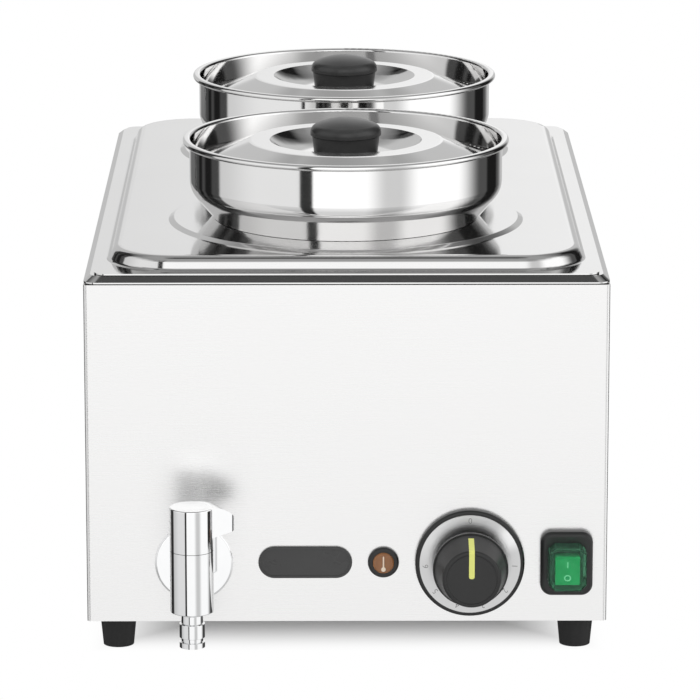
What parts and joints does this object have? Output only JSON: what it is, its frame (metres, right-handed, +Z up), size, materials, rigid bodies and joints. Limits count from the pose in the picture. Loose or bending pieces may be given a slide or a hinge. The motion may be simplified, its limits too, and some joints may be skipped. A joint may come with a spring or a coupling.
{
  "type": "countertop bain marie",
  "caption": "Countertop bain marie: steel housing with a heated water well, adapter plate, two lidded round pots, a drain tap, thermostat dial and covered rocker switch.",
  "frame": {"origin": "on the counter, under the middle of the whole: housing, drain tap and cable gland", "axes": "+X to the right as seen from the controls, +Y from the controls to the rear, +Z up"},
  "size_m": [0.338, 0.624, 0.3275],
  "materials": {
    "panel_steel": "finely brushed stainless sheet",
    "deck_steel": "satin polished stainless sheet",
    "pot_steel": "mirror polished stainless sheet",
    "bright_chrome": "bright plated",
    "fixing_steel": "plain zinc plated",
    "knob_black": "gloss black",
    "control_black": "satin black",
    "inner_plastic": "matt black",
    "dial_aluminium": "brushed",
    "pointer_lime": "lime",
    "rocker_green": "green",
    "boot_clear": "clear soft cover",
    "lens_amber": "dark amber",
    "badge_grey": "dark grey, blank",
    "foot_rubber": "matt black",
    "element_sheath": "dark heated sheath",
    "drain_brass": "turned",
    "lead_sleeve": "soft insulated leads"
  },
  "bodies": {
    "housing": {"front_panel": "panel_steel", "left_side_panel": "panel_steel", "right_side_panel": "panel_steel", "rear_panel": "panel_steel", "base_plate": "panel_steel", "top_frame": "deck_steel", "tank": "deck_steel", "tap_body": "bright_chrome", "tap_nozzle": "bright_chrome", "tap_escutcheon": "bright_chrome", "rear_panel_screws": "fixing_steel", "foot_screws": "fixing_steel", "element_clamps": "fixing_steel", "bulb_clip": "fixing_steel", "earth_stud": "fixing_steel", "gland_nut": "fixing_steel", "lamp_nut": "fixing_steel", "dial_ring": "control_black", "lamp_bezel": "control_black", "switch_frame": "control_black", "thermostat_body": "inner_plastic", "switch_body": "inner_plastic", "lamp_body": "inner_plastic", "terminal_block": "inner_plastic", "thermal_cutout": "inner_plastic", "cable_gland": "inner_plastic", "dial_face": "dial_aluminium", "switch_boot": "boot_clear", "lamp_lens": "lens_amber", "badge": "badge_grey", "feet": "foot_rubber", "tap_washer": "foot_rubber", "heating_element": "element_sheath", "thermostat_bulb": "element_sheath", "tap_backnut": "drain_brass", "drain_boss": "drain_brass", "drain_pipe": "drain_brass", "drain_coupling": "drain_brass", "capillary": "drain_brass", "supply_leads": "lead_sleeve", "heater_leads": "lead_sleeve", "earth_lead": "lead_sleeve"},
    "plate": {"adapter_plate": "deck_steel"},
    "front_pot_body": {"front_pot": "pot_steel", "front_pot_drum": "pot_steel"},
    "rear_pot_body": {"rear_pot": "pot_steel", "rear_pot_drum": "pot_steel"},
    "front_lid_body": {"front_lid": "pot_steel", "front_lid_knob": "knob_black", "front_lid_screw": "fixing_steel"},
    "rear_lid_body": {"rear_lid": "pot_steel", "rear_lid_knob": "knob_black", "rear_lid_screw": "fixing_steel"},
    "knob": {"thermostat_knob": "control_black", "knob_pointer": "pointer_lime", "knob_shaft": "fixing_steel"},
    "rocker": {"switch_rocker": "rocker_green"},
    "tap_lever": {"tap_handle": "bright_chrome", "tap_plug": "drain_brass"}
  },
  "joints": [
    {"name": "plate_lift", "type": "slide", "parent": "housing", "child": "plate", "axis": [0, 0, 1], "range_m": [0, 0.25]},
    {"name": "front_pot_lift", "type": "slide", "parent": "plate", "child": "front_pot_body", "axis": [0, 0, 1], "range_m": [0, 0.2]},
    {"name": "rear_pot_lift", "type": "slide", "parent": "plate", "child": "rear_pot_body", "axis": [0, 0, 1], "range_m": [0, 0.2]},
    {"name": "front_lid_lift", "type": "slide", "parent": "front_pot_body", "child": "front_lid_body", "axis": [0, 0, 1], "range_m": [0, 0.08]},
    {"name": "rear_lid_lift", "type": "slide", "parent": "rear_pot_body", "child": "rear_lid_body", "axis": [0, 0, 1], "range_m": [0, 0.08]},
    {"name": "thermostat_turn", "type": "hinge", "parent": "housing", "child": "knob", "pos_m": [0.0798, -0.248, 0.0604], "axis": [0, 1, 0], "range_deg": [0, 267]},
    {"name": "switch_rock", "type": "hinge", "parent": "housing", "child": "rocker", "pos_m": [0.1425, -0.255, 0.0604], "axis": [-1, 0, 0], "range_deg": [0, 16]},
    {"name": "tap_turn", "type": "hinge", "parent": "housing", "child": "tap_lever", "pos_m": [-0.0992, -0.298, 0.079], "axis": [0, 0, -1], "range_deg": [0, 90]}
  ]
}
